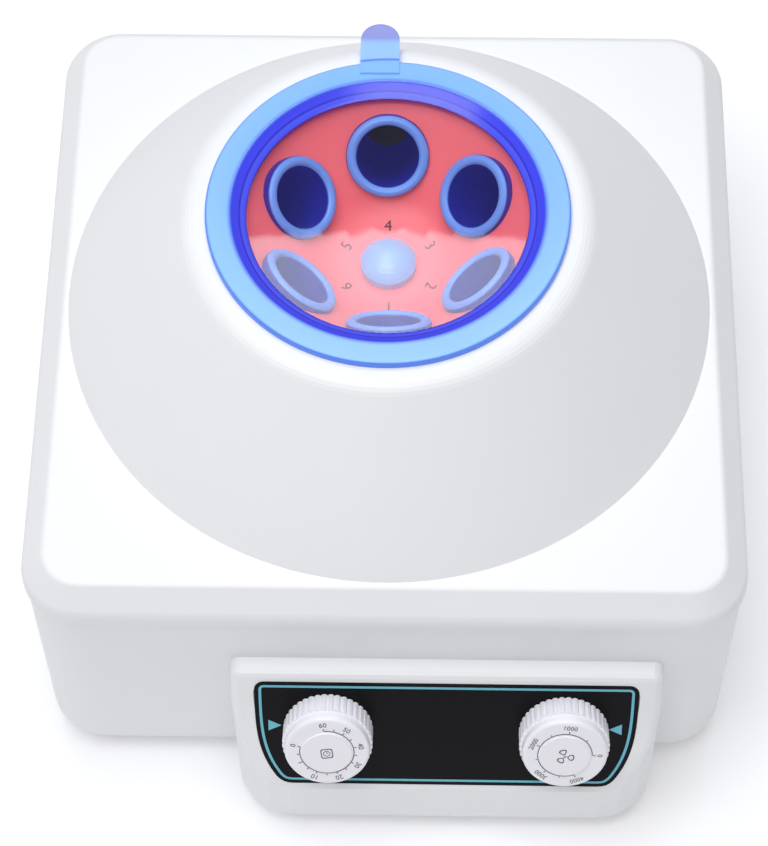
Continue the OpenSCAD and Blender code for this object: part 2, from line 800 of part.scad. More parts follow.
module lid_frame() {
    soft = 1;
    outline = concat(
        [[spigot_r, 0], [flange_r, 0]],
        arc([flange_r - soft, flange_t - soft], soft, 0, 90, 3),
        arc([window_r + 6.1, flange_t - soft], soft, 90, 150, 3),
        [
            [window_r + 0.8, -0.5],
            [window_r, -0.8],
            [window_r, window_t - window_drop],
            [window_r + 2.6, window_t - window_drop],
            [window_r + 2.6, -spigot_h],
            [spigot_r, -spigot_h]
        ]
    );
    color("royalblue") difference() {
        union() {
            translate([0, 0, body_h]) rotate_extrude() polygon(outline);
            translate([arm_x, 0, arm_z]) linear_extrude(arm_t) arm_outline();
            intersection() {
                translate([arm_x, 0, pin_z - 10]) linear_extrude(arm_z + 10.5 - pin_z) arm_outline();
                translate([arm_x, 0, 0]) cheeks();
            }
        }
        translate([arm_x - 20, pin_y, pin_z]) rotate([0, 90, 0]) cylinder(r = pin_r + pin_gap, h = 40);
    }
}

module arm_outline() {
    translate([0, arm_end_y]) circle(r = arm_w / 2);
    translate([-arm_w / 2, spigot_r + 2]) square([arm_w, arm_end_y - spigot_r - 2]);
}

module cheeks() {
    for (side = [-1, 1]) translate([side * (cheek_in + cheek_out) / 2, 0, 0]) rotate([90, 0, 90])
        translate([0, 0, (cheek_in - cheek_out) / 2]) linear_extrude(cheek_out - cheek_in) {
            translate([pin_y, pin_z]) circle(r = cheek_r);
            translate([pin_y - cheek_r, pin_z]) square([2 * cheek_r, arm_z + 0.5 - pin_z]);
        }
}

module lid_window() {
    edge_r = window_r + 2.6 - seat_gap;
    dome_r = window_r - 0.3;
    top = body_h - window_drop + window_t;
    rises = [for (i = [0:6]) let (r = dome_r * (1 - i / 6))
        [r, window_rise * (1 - pow(r / dome_r, 2))]];
    color("aliceblue", 0.5) rotate_extrude() polygon(concat(
        [[edge_r, top - window_t], [edge_r, top]],
        [for (p = rises) [p.x, top + p.y]],
        [for (i = [6:-1:0]) [rises[i].x, top - window_t + rises[i].y]]
    ));
}

module hinge_pin() {
    color("silver") translate([arm_x - cheek_out + 0.2, pin_y, pin_z]) rotate([0, 90, 0])
        cylinder(r = pin_r, h = 2 * cheek_out - 0.4);
}

// Controls

module timer_mechanism() {
    color("khaki") on_panel(knob_x[0], knob_v) difference() {
        union() {
            translate([-timer_side / 2, -timer_side / 2, -wall - timer_depth])
                cube([timer_side, timer_side, timer_depth]);
            translate([0, 0, -wall - 1]) cylinder(r = bush_r, h = wall + nut_h + 1.5);
        }
        translate([0, 0, -20]) cylinder(r = knob_shaft_r + pin_gap, h = 30);
    }
}

module speed_regulator() {
    color("khaki") on_panel(knob_x[1], knob_v) difference() {
        union() {
            translate([0, 0, -wall - regulator_depth]) cylinder(r = regulator_r, h = regulator_depth);
            translate([0, 0, -wall - 1]) cylinder(r = bush_r, h = wall + nut_h + 1.5);
        }
        translate([0, 0, -16]) cylinder(r = knob_shaft_r + pin_gap, h = 30);
    }
}

module shaft_nut(x) {
    color("silver") on_panel(x, knob_v) difference() {
        cylinder(r = nut_r, h = nut_h, $fn = 6);
        translate([0, 0, -cut]) cylinder(r = bush_r, h = nut_h + 2 * cut);
    }
}

module knob_shaft(x, depth) {
    color("silver") on_panel(x, knob_v) translate([0, 0, -depth])
        cylinder(r = knob_shaft_r, h = depth + knob_h - 3);
}

// A knob with a ribbed grip below and a smooth dial above
module knob(x) {
    grip_h = 9;
    soft = 1.5;
    dial_r = knob_r - 0.9;
    pitch = 360 / knob_ribs;
    grip = [for (i = [0:knob_ribs - 1]) each [
        (knob_r - 0.6) * [cos(i * pitch), sin(i * pitch)],
        knob_r * [cos((i + 0.3) * pitch), sin((i + 0.3) * pitch)],
        knob_r * [cos((i + 0.7) * pitch), sin((i + 0.7) * pitch)]
    ]];
    color("white") on_panel(x, knob_v) difference() {
        union() {
            translate([0, 0, run_gap]) linear_extrude(grip_h - run_gap) polygon(grip);
            rotate_extrude() polygon(concat(
                [[0, grip_h - 1], [dial_r, grip_h - 1]],
                arc([dial_r - soft, knob_h - soft], soft, 0, 90, 4),
                [[0, knob_h]]
            ));
            translate([0, 0, knob_h - 1]) cylinder(r = dial_r - 6.5, h = 1.8);
        }
        translate([0, 0, -cut]) cylinder(r = nut_r + 2, h = nut_h + 1.8 + cut);
        translate([0, 0, -cut]) cylinder(r = knob_shaft_r, h = knob_h - 3 + cut);
    }
}

// Back wall fittings

module power_inlet() {
    recess = [[-11, -8.2], [11, -8.2], [11, 3.5], [7, 8.2], [-7, 8.2], [-11, 3.5]];
    color("black") on_back(inlet_x) difference() {
        union() {
            translate([-15.2, -11.6, 0]) cube([30.4, 23.2, 2]);
            translate([-inlet_w / 2 + seat_gap, -inlet_h / 2 + seat_gap, -22])
                cube([inlet_w - 2 * seat_gap, inlet_h - 2 * seat_gap, 23]);
        }
        translate([0, 0, -15]) linear_extrude(20) polygon(recess);
        inlet_pin_bars();
    }
}

module inlet_pin_bars() {
    for (p = [[-7, -2.5], [0, 2.5], [7, -2.5]])
        translate([p.x - 1, p.y - 2, -28]) cube([2, 4, 27]);
}

module inlet_pins() {
    color("silver") on_back(inlet_x) inlet_pin_bars();
}

module fuse_holder() {
    color("black") on_back(fuse_x) {
        translate([0, 0, -24]) cylinder(r = 6, h = 25);
        cylinder(r = 8, h = 2);
        cylinder(r = 6, h = 7);
    }
}

module switch_bezel() {
    color("black") on_back(switch_x) difference() {
        union() {
            translate([-7.7, -10.7, 0]) cube([15.4, 21.4, 2]);
            translate([-6.6, -9.6, -18]) cube([13.2, 19.2, 19]);
        }
        translate([-5.5, -rocker_half - 0.6, -9]) cube([11, 2 * rocker_half + 1.2, 12]);
    }
}

// The rocker is drawn tipped to its off side
module switch_rocker() {
    tip = 8;
    color("firebrick") on_back(switch_x) translate([0, 0, -1]) rotate([tip, 0, 0])
        rotate([0, -90, 0]) linear_extrude(10.4, center = true) polygon([
            [-3, -4], [0.6, -rocker_half], [4.8, -rocker_half], [3.2, 0],
            [4.8, rocker_half], [0.6, rocker_half], [-3, 4]
        ]);
}

module circuit_board() {
    color("seagreen") translate([-half_w + 32 - 17, -40, floor_z + 5]) cube([34, 80, 1.6]);
}

module board_parts() {
    color("slategray") translate([-half_w + 32, 0, floor_z + 6.6]) {
        translate([-8, -30, 0]) cube([4, 24, 20]);
        translate([6, -16, 0]) cylinder(r = 6, h = 22);
        translate([-6, 8, 0]) cube([14, 16, 12]);
        translate([-10, 28, 0]) cube([18, 8, 10]);
    }
}

// Feet and screws

module feet() {
    color("dimgray") at_corners(foot_c) difference() {
        cylinder(r1 = 10.5, r2 = 12, h = foot_h);
        translate([0, 0, -cut]) cylinder(r = 5.2, h = 3.5 + cut);
        translate([0, 0, -cut]) cylinder(r = 2.1, h = foot_h + 2 * cut);
    }
}

module foot_screws() {
    color("silver") at_corners(foot_c) translate([0, 0, 3.5]) mirror([0, 0, 1])
        screw(4.4, 2.2, 2, foot_h + 8 - 3.5);
}

module case_screws() {
    color("silver") at_corners(case_screw_c) translate([0, 0, case_post_top - 10])
        mirror([0, 0, 1]) screw(4.2, 2.5, 2, 20);
}

module pod_screws() {
    color("silver") pod_bolts_along() translate([0, 0, -wall]) mirror([0, 0, 1])
        screw(4, 2, 1.8, wall + 8);
}

base_tub();
tub_posts();
top_cover();
control_pod();
fascia();
chamber_bowl();
bowl_gasket();
bowl_screws();
shaft_seal();
motor_plate();
plate_dampers();
plate_screws();
motor_can();
field_stator();
motor_top_cap();
motor_bottom_cap();
motor_screws();
top_bearing();
bottom_bearing();
brush_holders();
brushes();
motor_shaft();
armature_core();
armature_winding();
commutator();
cooling_fan();
rotor_body();
rotor_cap();
sleeve_pads();
tube_sleeve(1);  // tube_sleeve_1
tube_sleeve(2);  // tube_sleeve_2
tube_sleeve(3);  // tube_sleeve_3
tube_sleeve(4);  // tube_sleeve_4
tube_sleeve(5);  // tube_sleeve_5
tube_sleeve(6);  // tube_sleeve_6
lid_frame();
lid_window();
hinge_pin();
timer_mechanism();
shaft_nut(knob_x[0]);  // timer_nut
knob_shaft(knob_x[0], 20);  // timer_shaft
knob(knob_x[0]);  // timer_knob
speed_regulator();
shaft_nut(knob_x[1]);  // speed_nut
knob_shaft(knob_x[1], 16);  // speed_shaft
knob(knob_x[1]);  // speed_knob
power_inlet();
inlet_pins();
fuse_holder();
switch_bezel();
switch_rocker();
circuit_board();
board_parts();
feet();
foot_screws();
case_screws();
pod_screws();
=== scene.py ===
import math

import bmesh
import bpy
from mathutils import Matrix, Vector


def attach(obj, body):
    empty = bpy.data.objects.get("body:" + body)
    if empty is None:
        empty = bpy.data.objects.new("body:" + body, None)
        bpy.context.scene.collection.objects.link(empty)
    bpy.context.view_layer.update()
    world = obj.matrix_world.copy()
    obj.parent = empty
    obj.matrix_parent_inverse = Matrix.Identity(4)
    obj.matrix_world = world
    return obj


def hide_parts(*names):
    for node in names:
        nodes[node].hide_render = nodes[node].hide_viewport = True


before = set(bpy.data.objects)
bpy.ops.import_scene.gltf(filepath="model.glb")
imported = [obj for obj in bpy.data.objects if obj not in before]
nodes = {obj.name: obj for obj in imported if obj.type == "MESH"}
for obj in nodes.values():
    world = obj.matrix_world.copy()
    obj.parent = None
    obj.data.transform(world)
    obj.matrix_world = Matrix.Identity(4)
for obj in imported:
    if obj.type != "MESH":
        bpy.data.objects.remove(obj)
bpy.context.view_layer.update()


# The white housing: base tub, top cover and control pod.
# Injection-moulded ABS, cool white with a fine satin grain, screwed together from below.
# The cover drops over a tongue on the tub's rim, so a thin shadow line runs round the seam.
class Signal:
    """A number that varies over a surface, so that shader maths reads as plain maths."""

    def __init__(self, finish, socket):
        self.finish = finish
        self.socket = socket

    def __add__(self, other):
        return self.finish.maths("ADD", self, other)

    __radd__ = __add__

    def __mul__(self, other):
        return self.finish.maths("MULTIPLY", self, other)

    __rmul__ = __mul__

    def __sub__(self, other):
        return self.finish.maths("SUBTRACT", self, other)

    def __rsub__(self, other):
        return self.finish.maths("SUBTRACT", other, self)


class Finish:
    """A material, with one method that makes any of its nodes."""

    def __init__(self, name):
        self.material = bpy.data.materials.new(name)
        self.material.use_nodes = True
        self.tree = self.material.node_tree
        self.surface = self.tree.nodes["Principled BSDF"]

    def node(self, kind, settings=None, values=None, output=0):
        """Any node: its settings first, then the values or links of its sockets."""
        made = self.tree.nodes.new(kind)
        for key, value in (settings or {}).items():
            if key == "stops":
                ramp = made.color_ramp
                while len(ramp.elements) < len(value):
                    ramp.elements.new(0.5)
                for element, (place, colour) in zip(ramp.elements, value):
                    element.position = place
                    element.color = colour
            else:
                setattr(made, key, value)
        for key, value in (values or {}).items():
            self.feed(made.inputs[key], value)
        return Signal(self, made.outputs[output])

    def feed(self, socket, value):
        if isinstance(value, Signal):
            self.tree.links.new(value.socket, socket)
        else:
            socket.default_value = value

    def set(self, **values):
        for key, value in values.items():
            self.feed(self.surface.inputs[key.replace("_", " ")], value)
        return self

    def place(self):
        return self.node("ShaderNodeTexCoord", output=3)

    def maths(self, operation, first, second=0.0):
        return self.node("ShaderNodeMath", {"operation": operation}, {0: first, 1: second})

    def noise(self, scale, detail=2.0):
        return self.node(
            "ShaderNodeTexNoise",
            values={"Vector": self.place(), "Scale": scale, "Detail": detail},
        )

    def mix(self, share, low, high):
        return self.node(
            "ShaderNodeMix", {"data_type": "RGBA"}, {0: share, 6: low, 7: high}, output=2
        )

    def bump(self, height, depth):
        return self.node("ShaderNodeBump", values={"Height": height, "Distance": depth, "Strength": 1.0})

    def paint(self, *names):
        for name in names:
            piece = nodes[name] if isinstance(name, str) else name
            piece.data.materials.clear()
            piece.data.materials.append(self.material)
        return self


def rgb(red, green, blue):
    """A colour given as it looks on screen, 0 to 255, in the shader's linear numbers."""

    def linear(level):
        share = level / 255
        return share / 12.92 if share <= 0.04045 else ((share + 0.055) / 1.055) ** 2.4

    return (linear(red), linear(green), linear(blue), 1.0)


def moulded(name, colour, darker, roughness, grain=900.0, depth=0.00002, coat=0.0):
    """A moulded plastic: faint cloudy colour, roughness that wanders, and a fine grain."""
    cloud_scale, roughness_swing = 26.0, 0.10
    finish = Finish(name)
    cloud = finish.noise(cloud_scale, 3.0)
    finish.set(
        Base_Color=finish.mix(cloud, darker, colour),
        Roughness=roughness + roughness_swing * (cloud - 0.5),
        Normal=finish.bump(finish.noise(grain, 1.0), depth),
        Coat_Weight=coat,
        Coat_Roughness=0.12,
    )
    return finish


sharp_edge = 28.0


def soften(*names, angle=sharp_edge):
    """Smooth shading, where edges sharper than the angle stay crisp."""
    for name in names:
        mesh = nodes[name].data
        for face in mesh.polygons:
            face.use_smooth = True
        mesh.set_sharp_from_angle(angle=math.radians(angle))


soften("base_tub", "top_cover", "control_pod", angle=24.0)
moulded("housing_white", rgb(243, 244, 246), rgb(240, 241, 244), 0.42).paint(
    "base_tub", "tub_posts", "top_cover", "control_pod"
)


# The fascia: a black label sheet over the recess in the pod's sloping panel.
# It is printed acrylic, glued down, with a cyan border line and a pointer beside each dial.
panel_lean = math.radians(25.7)
pod_front = -0.159
pod_crest = 0.0365
pod_middle = 0.023


def on_panel(across, up, out):
    """The frame of a spot on the panel: X across it, Y up its slope, Z out of it."""
    lean_sine, lean_cosine = math.sin(panel_lean), math.cos(panel_lean)
    spot = Matrix.Translation((
        across,
        pod_front + up * lean_sine - out * lean_cosine,
        pod_crest + up * lean_cosine + out * lean_sine,
    ))
    return spot @ Matrix.Rotation(math.pi / 2 - panel_lean, 4, "X")


def flat_mesh(loops, thick):
    """A flat plate inside closed loops of points, where a loop within a loop is a hole."""
    drawing = bpy.data.curves.new("drawing", "CURVE")
    drawing.dimensions = "2D"
    drawing.fill_mode = "BOTH"
    drawing.extrude = thick / 2
    for loop in loops:
        line = drawing.splines.new("POLY")
        line.points.add(len(loop) - 1)
        for point, (x, y) in zip(line.points, loop):
            point.co = (x, y, 0.0, 1.0)
        line.use_cyclic_u = True
    return settled(drawing)


def settled(drawing):
    """The mesh of a curve or text, with the drawing itself thrown away."""
    holder = bpy.data.objects.new("drawing", drawing)
    bpy.context.scene.collection.objects.link(holder)
    shape = holder.evaluated_get(bpy.context.evaluated_depsgraph_get())
    mesh = bpy.data.meshes.new_from_object(shape)
    bpy.data.objects.remove(holder)
    return mesh


weld_gap = 1e-7


def fuse(name, body, finish, meshes, smooth=False):
    """One piece from several meshes, painted, riding on its body."""
    shape = bmesh.new()
    for mesh in meshes:
        shape.from_mesh(mesh)
        bpy.data.meshes.remove(mesh)
    bmesh.ops.remove_doubles(shape, verts=shape.verts, dist=weld_gap)
    bmesh.ops.recalc_face_normals(shape, faces=shape.faces)
    mesh = bpy.data.meshes.new(name)
    shape.to_mesh(mesh)
    shape.free()
    for face in mesh.polygons:
        face.use_smooth = smooth
    mesh.set_sharp_from_angle(angle=math.radians(sharp_edge))
    piece = bpy.data.objects.new(name, mesh)
    bpy.context.scene.collection.objects.link(piece)
    finish.paint(piece)
    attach(piece, body)
    return piece


def moved(mesh, *frames):
    """The mesh after each of the frames in turn."""
    for place in frames:
        mesh.transform(place)
    return mesh


sheet_half_width = 0.0701
sheet_height = 0.050
sheet_taper = 0.012
taper_power = 3.6
lower_corner = [(0.0565, 0.0029), (0.0585, 0.0031), (0.0601, 0.0037), (0.0614, 0.0047)]
upper_corner = (0.0665, 0.0477)
upper_soft = 0.0036
side_heights = range(6, 48, 2)


def arc(middle, radius, start, end, count):
    """Points on a round stretch, from one angle to another, in degrees."""
    turns = [math.radians(start + (end - start) * step / count) for step in range(count + 1)]
    return [(middle[0] + radius * math.cos(turn), middle[1] + radius * math.sin(turn))
            for turn in turns]


def sheet_half(up):
    """Half the sheet's width at a height up the slope; it narrows towards the foot."""
    return sheet_half_width - sheet_taper * max(0.0, 1 - up / sheet_height) ** taper_power


def sheet_outline(inset=0.0):
    """The sheet's edge, or a line that runs at a steady distance inside it."""
    right = lower_corner + [(sheet_half(up / 1000), up / 1000) for up in side_heights]
    right += arc(upper_corner, upper_soft, 0, 90, 6)
    loop = [Vector(point) for point in right]
    loop += [Vector((-point.x, point.y)) for point in reversed(loop)]
    inner = []
    for before, here, after in zip(loop[-1:] + loop[:-1], loop, loop[1:] + loop[:1]):
        along = (after - before).normalized()
        inner.append(here + inset * Vector((-along.y, along.x)))
    return inner


def disc(radius, across=0.0, up=0.0, count=48):
    """A full circle as a loop of points."""
    turns = [math.tau * step / count for step in range(count)]
    return [(across + radius * math.cos(turn), up + radius * math.sin(turn)) for turn in turns]


dial_places = {"timer": -0.02025, "speed": 0.06625}
dial_up = 0.0296
bush_hole = 0.0046
sheet_proud = 0.00012
sheet_thick = 0.0009
black = moulded("fascia_black", rgb(13, 11, 17), rgb(9, 8, 13), 0.3, grain=600.0, depth=0.00001)
black.set(Specular_IOR_Level=0.12)
holes = [disc(bush_hole, place - pod_middle, dial_up) for place in dial_places.values()]
fascia_sheet = fuse("fascia_sheet", "housing", black, [
    moved(
        flat_mesh([sheet_outline(), *holes], sheet_thick),
        on_panel(pod_middle, 0.0, sheet_proud - sheet_thick / 2),
    )
])
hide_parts("fascia")
black.paint("fascia")

ink_thick = 0.00005
cyan = moulded("cyan_ink", rgb(112, 196, 214), rgb(98, 186, 206), 0.4, grain=600.0, depth=0.000005)
border_inset, border_width = 0.0016, 0.0010
left_pointer = [(-0.0652, 0.0333), (-0.0652, 0.0283), (-0.0604, 0.0308)]
right_pointer = [(0.0645, 0.0282), (0.0645, 0.0332), (0.0598, 0.0307)]
border = flat_mesh(
    [sheet_outline(border_inset), sheet_outline(border_inset + border_width)], ink_thick
)
pointers = flat_mesh([left_pointer, right_pointer], ink_thick)
fuse("fascia_print", "housing", cyan, [
    moved(mesh, on_panel(pod_middle, 0.0, sheet_proud + ink_thick / 2))
    for mesh in (border, pointers)
])


# The chamber's inside: a spun aluminium bowl with a rubber trim on its edge,
# and the rubber seal round the motor's shaft.
spun = Finish("spun_aluminium")
rings = spun.node(
    "ShaderNodeTexWave",
    {"wave_type": "RINGS", "rings_direction": "Z"},
    {"Vector": spun.place(), "Scale": 180.0, "Distortion": 1.5, "Detail": 2.0},
)
spun.set(
    Base_Color=spun.mix(rings, rgb(176, 178, 182), rgb(206, 208, 212)),
    Metallic=1.0,
    Roughness=0.30 + 0.12 * rings,
    Normal=spun.bump(rings, 0.00002),
).paint("chamber_bowl", "motor_top_cap", "motor_bottom_cap")


def rubber(name, level):
    """A matt grey rubber with a little dust in its pores."""
    finish = Finish(name)
    dust = finish.noise(240.0, 4.0)
    finish.set(
        Base_Color=finish.mix(dust, rgb(level, level, level + 2), rgb(level + 14, level + 14, level + 15)),
        Roughness=0.68 + 0.18 * (dust - 0.5),
        Normal=finish.bump(dust, 0.00004),
    )
    return finish


rubber("trim_rubber", 96).paint("bowl_gasket", "sleeve_pads")
rubber("black_rubber", 34).paint("shaft_seal", "plate_dampers", "feet")


# The motor and its mounting: zinc-plated plate and can, laminated core, copper, carbon.
# It hangs from the plate on four rubber dampers, inside the closed tub.
def metal(name, colour, darker, roughness):
    """A metal whose tone and polish wander a little."""
    finish = Finish(name)
    brushed = finish.noise(320.0, 4.0)
    finish.set(
        Base_Color=finish.mix(brushed, darker, colour),
        Metallic=1.0,
        Roughness=roughness + 0.14 * (brushed - 0.5),
        Normal=finish.bump(brushed, 0.00001),
    )
    return finish


metal("zinc_plate", rgb(168, 170, 172), rgb(150, 152, 156), 0.42).paint(
    "motor_plate", "motor_can", "timer_mechanism", "speed_regulator"
)
metal("core_iron", rgb(96, 98, 102), rgb(74, 76, 80), 0.5).paint("field_stator", "armature_core")
metal("bright_steel", rgb(206, 208, 211), rgb(186, 188, 192), 0.26).paint(
    "bowl_screws", "plate_screws", "motor_screws", "top_bearing", "bottom_bearing",
    "hinge_pin", "timer_nut", "speed_nut", "inlet_pins", "foot_screws", "case_screws",
    "pod_screws", "motor_shaft", "timer_shaft", "speed_shaft",
)
metal("copper", rgb(196, 122, 84), rgb(164, 92, 58), 0.34).paint("armature_winding", "commutator")
moulded("phenolic_brown", rgb(96, 62, 42), rgb(82, 52, 34), 0.5).paint("brush_holders")
moulded("carbon", rgb(36, 36, 38), rgb(26, 26, 28), 0.6).paint("brushes")


# The rotor: a salmon-red moulded dish that carries six blue sleeves at 45 degrees,
# held on the shaft by a pale domed nut. Its rim is rolled out to a soft lip, its floor
# runs into the cone in a wide curve, and the places are numbered on the floor.
def turned_mesh(outline, count=128):
    """A ring with a closed outline of (radius, height), turned round the Z axis."""
    shape = bmesh.new()
    rings = []
    for step in range(count):
        turn = math.tau * step / count
        rings.append([
            shape.verts.new((radius * math.cos(turn), radius * math.sin(turn), height))
            for radius, height in outline
        ])
    for ring, following in zip(rings, rings[1:] + rings[:1]):
        for spot in range(len(outline)):
            beside = (spot + 1) % len(outline)
            shape.faces.new((ring[spot], following[spot], following[beside], ring[beside]))
    mesh = bpy.data.meshes.new("turned")
    shape.to_mesh(mesh)
    shape.free()
    return mesh


salmon = moulded("rotor_red", rgb(255, 122, 128), rgb(252, 112, 118), 0.42, grain=500.0)
# Painted glow: a faint red emission makes the rotor give off light of its own, standing in for the light
# that reaches it through the lid.
salmon.set(Emission_Color=rgb(255, 60, 70), Emission_Strength=0.12)
salmon.paint("rotor_body")
lip_inside = (0.0475, 0.17495)
lip_shoulder, shoulder_round = (0.05290, 0.17720), 0.0020
lip_bead, bead_round = (0.05445, 0.17765), 0.00155
lip_under = (0.0520, 0.1745)
lip = [lip_inside]
lip += arc(lip_shoulder, shoulder_round, 135, 90, 5)
lip += arc(lip_bead, bead_round, 90, -50, 8)
lip += [lip_under]
floor_curve = 0.0193
basin_start, basin_floor = 0.01430, 0.14974
basin_hole, basin_back = 0.0098, 0.1489
basin_edge, basin_under = (0.0283, 0.1548), 0.0223
basin = [(basin_hole, basin_floor)]
basin += arc((basin_start, basin_floor + floor_curve), floor_curve, -90, -45, 14)
basin += [basin_edge, (basin_under, basin_back), (basin_hole, basin_back)]
soften("rotor_body")
fuse("rotor_lip", "rotor", salmon, [turned_mesh(lip)], smooth=True)
fuse("rotor_basin", "rotor", salmon, [turned_mesh(basin)], smooth=True)


# The six sleeves: blue moulded tubes pushed into the sockets, with rolled pale rims.
# The plastic is blue through and through. The bores are darkened to navy below the mouths as painted
# shade, and rims and bores give off a faint painted glow.
# A spot's depth below its mouth's plane follows from its height and its reach outwards.
places = 6
rest_turn = math.radians(1.25)
mouth_height = 0.16948
mouth_circle = 0.0350
bore_depth, rim_depth = -0.0016, -0.0008
rim_blue, rim_pale = rgb(112, 156, 238), rgb(122, 166, 244)
# Painted shade: the bores are coloured navy below the mouths.
bore_painted_shade = rgb(30, 34, 150)
# Painted glow: bores and rims give off a faint blue light of their own.
bore_painted_glow, rim_painted_glow = (0.002, 0.002, 0.06, 1.0), (0.01, 0.02, 0.05, 1.0)
sleeve = Finish("sleeve_blue")
across, back, height = [
    sleeve.node("ShaderNodeSeparateXYZ", values={"Vector": sleeve.place()}, output=axis)
    for axis in range(3)
]
bearing = sleeve.maths("ARCTAN2", back, across) - rest_turn
off_axis = sleeve.maths("FLOORED_MODULO", bearing, math.tau / places) - math.pi / places
from_centre = sleeve.maths("SQRT", across * across + back * back)
reach = from_centre * sleeve.maths("COSINE", off_axis)
above_mouth = (height - mouth_height - reach + mouth_circle) * math.sqrt(0.5)
on_rim = sleeve.node(
    "ShaderNodeMapRange",
    values={"Value": above_mouth, "From Min": bore_depth, "From Max": rim_depth},
)
cloud = sleeve.noise(60.0)
sleeve.set(
    Base_Color=sleeve.mix(on_rim, bore_painted_shade, sleeve.mix(cloud, rim_blue, rim_pale)),
    Roughness=0.36 + 0.06 * cloud,
    Normal=sleeve.bump(sleeve.noise(500.0, 1.0), 0.00002),
    Emission_Color=sleeve.mix(on_rim, bore_painted_glow, rim_painted_glow),
    Emission_Strength=1.0,
)
sleeves = [f"tube_sleeve_{number}" for number in range(1, places + 1)]
sleeve.paint(*sleeves)
soften(*sleeves)


# The rotor's nut: a pale blue moulded cap that is screwed on the shaft's end by hand.
cap_blue = moulded("cap_blue", rgb(160, 196, 246), rgb(150, 188, 242), 0.3, grain=500.0, coat=0.2)
cap_blue.paint("rotor_cap")
soften("rotor_cap")


# The place numbers: 1 to 6, moulded in low relief on the rotor's floor and inked dark.
# Each stands between the nut and its sleeve, with its top outwards.
def lettering(words, size, thick):
    """Raised ink letters about the origin, reading along X."""
    drawing = bpy.data.curves.new("letters", "FONT")
    drawing.body = words
    drawing.size = size
    drawing.align_x = "CENTER"
    drawing.align_y = "CENTER"
    drawing.extrude = thick / 2
    drawing.resolution_u = 3
    return settled(drawing)


number_ring = 0.0176
number_size = 0.0062
number_relief = 0.00036
rear_number = 4
number_height = basin_floor + floor_curve - math.sqrt(
    floor_curve ** 2 - (number_ring - basin_start) ** 2
)
number_tilt = math.asin((number_ring - basin_start) / floor_curve)
ink = moulded("dark_ink", rgb(96, 50, 62), rgb(86, 44, 56), 0.6, grain=600.0, depth=0.000005)
place_numbers = []
for place in range(places):
    turn = math.tau / places * place + rest_turn
    number = (place + rear_number - 1) % places + 1
    place_numbers.append(moved(
        lettering(str(number), number_size, number_relief),
        Matrix.Rotation(number_tilt, 4, "X"),
        Matrix.Translation((0.0, number_ring, number_height)),
        Matrix.Rotation(turn, 4, "Z"),
    ))
fuse("place_numbers", "rotor", ink, place_numbers)


# The lid: a translucent blue moulded ring with a hinge arm, and a clear domed window in it.
# The ring is tinted through, so its thick inner band looks violet and its flat flange pale. The thin dark
# lines at the window's edge, at the inner step and round the outer rim are painted shade, and the ring
# gives off a faint painted glow in its own colours.
ring_start, ring_run = 0.0500, 0.0160
arm_end_start, arm_end_full = 0.0728, 0.0750
arm_end_violet = rgb(150, 150, 214)
lid_blue = Finish("lid_blue")
flattened = lid_blue.node(
    "ShaderNodeVectorMath", {"operation": "MULTIPLY"}, {0: lid_blue.place(), 1: (1.0, 1.0, 0.0)}
)
radius = lid_blue.node("ShaderNodeVectorMath", {"operation": "LENGTH"}, {0: flattened}, output=1)


def ring_stop(millimetres, *colour):
    """A colour of the ring at a distance from the lid's centre."""
    return ((millimetres / 1000 - ring_start) / ring_run, rgb(*colour))


ring_tint_and_painted_shade = lid_blue.node(
    "ShaderNodeValToRGB",
    {"stops": [
        # Painted shade: the dark stops at 50.4, 53.0 and 64.9 to 65.3 mm are dark lines at the window's
        # edge, at the step and round the outer rim.
        ring_stop(50.4, 46, 44, 150),
        ring_stop(51.1, 74, 84, 238),
        ring_stop(52.4, 84, 96, 246),
        ring_stop(53.0, 44, 48, 190),
        ring_stop(53.5, 70, 74, 236),
        ring_stop(55.6, 66, 70, 232),
        ring_stop(56.6, 104, 150, 250),
        ring_stop(57.6, 140, 194, 255),
        ring_stop(64.3, 144, 198, 255),
        ring_stop(64.9, 92, 140, 246),
        ring_stop(65.3, 92, 140, 246),
        ring_stop(65.9, 160, 202, 255),
    ]},
    {"Fac": (radius - ring_start) * (1 / ring_run)},
)
rearward = lid_blue.node("ShaderNodeSeparateXYZ", values={"Vector": lid_blue.place()}, output=1)
on_arm_end = lid_blue.node(
    "ShaderNodeMapRange",
    values={"Value": rearward, "From Min": arm_end_start, "From Max": arm_end_full},
)
lid_blue.set(
    Base_Color=lid_blue.mix(on_arm_end, ring_tint_and_painted_shade, arm_end_violet),
    Roughness=0.16 + 0.08 * lid_blue.noise(60.0, 3.0),
    Normal=lid_blue.bump(lid_blue.noise(300.0, 1.0), 0.00001),
    IOR=1.49,
    Transmission_Weight=0.25,
    # Painted glow: the ring gives off a little light in its own ramp colours.
    Emission_Color=ring_tint_and_painted_shade,
    Emission_Strength=0.16,
)
lid_blue.paint("lid_frame")
soften("lid_frame", "lid_window")


# The window: a clear domed disc of acrylic, bonded in the ring from below.
# Light passes straight through, and its face mirrors a little, more when seen edge on.
face_gloss, edge_gloss = 0.03, 0.5
window = Finish("window_clear")
window.set(
    Base_Color=rgb(255, 255, 255),
    Metallic=1.0,
    Roughness=0.03 + 0.02 * window.noise(20.0),
)
edge_on = window.node("ShaderNodeLayerWeight", values={"Blend": 0.5}, output=1)
gloss = window.maths("POWER", edge_on, 5.0) * edge_gloss + face_gloss
clear = window.node("ShaderNodeBsdfTransparent", values={"Color": rgb(252, 253, 255)})
shine = Signal(window, window.surface.outputs[0])
pane = window.node("ShaderNodeMixShader", values={0: gloss, 1: clear, 2: shine})
window.feed(window.tree.nodes["Material Output"].inputs["Surface"], pane)
window.paint("lid_window")


